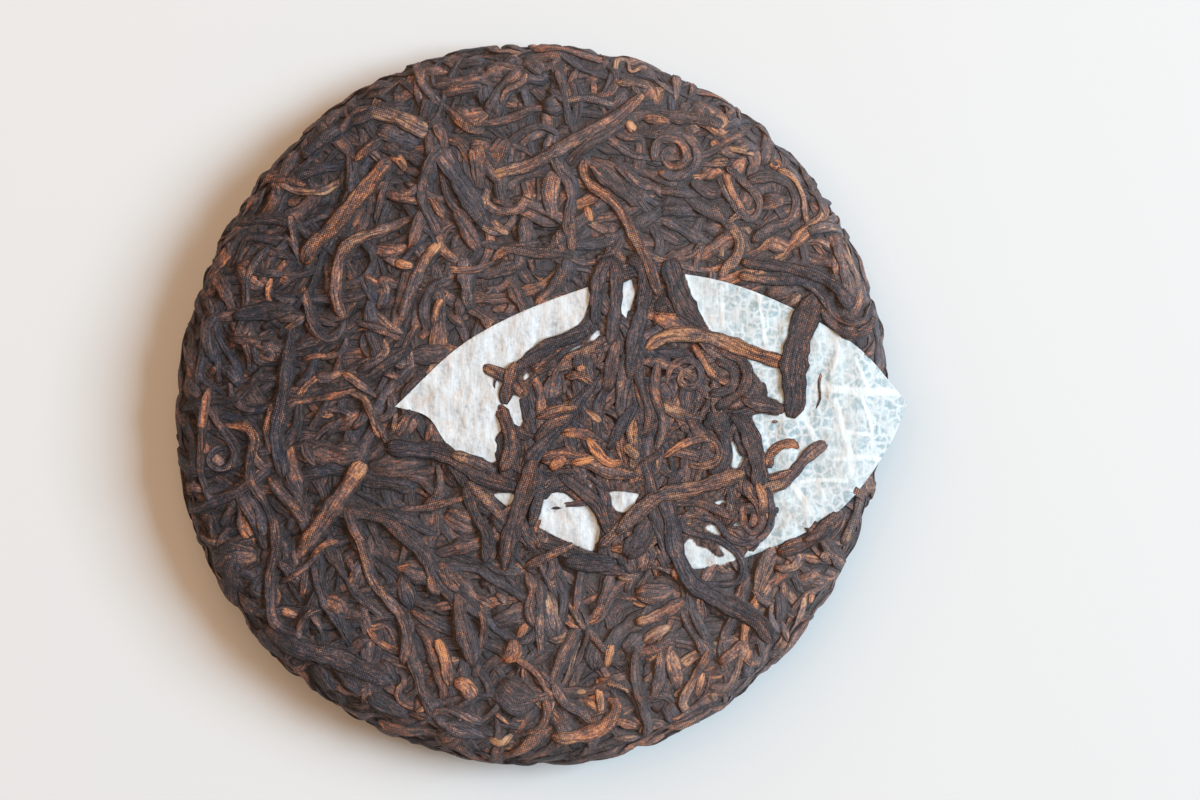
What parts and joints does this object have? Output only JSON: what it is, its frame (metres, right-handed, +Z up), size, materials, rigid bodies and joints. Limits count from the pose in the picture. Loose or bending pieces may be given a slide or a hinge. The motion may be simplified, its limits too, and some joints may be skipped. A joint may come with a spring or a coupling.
{
  "type": "pu erh tea cake",
  "caption": "Round flat cake of pressed tea leaves with a leaf-shaped blank paper ticket held in its face.",
  "frame": {"origin": "middle of the footprint, on the surface that the cake lies on", "axes": "+Z up through the face that carries the ticket, +X along the ticket towards its end past the rim"},
  "size_m": [0.1124, 0.1106, 0.0142],
  "materials": {
    "tea_leaf": "dry pressed tea leaf, dark grey-brown with rust and copper tips, softly glossy where pressed",
    "ticket_paper": "thin translucent white paper, matt, embossed and stained by the leaf"
  },
  "bodies": {
    "root": {"tea_cake": "tea_leaf", "paper_ticket": "ticket_paper"}
  },
  "joints": []
}
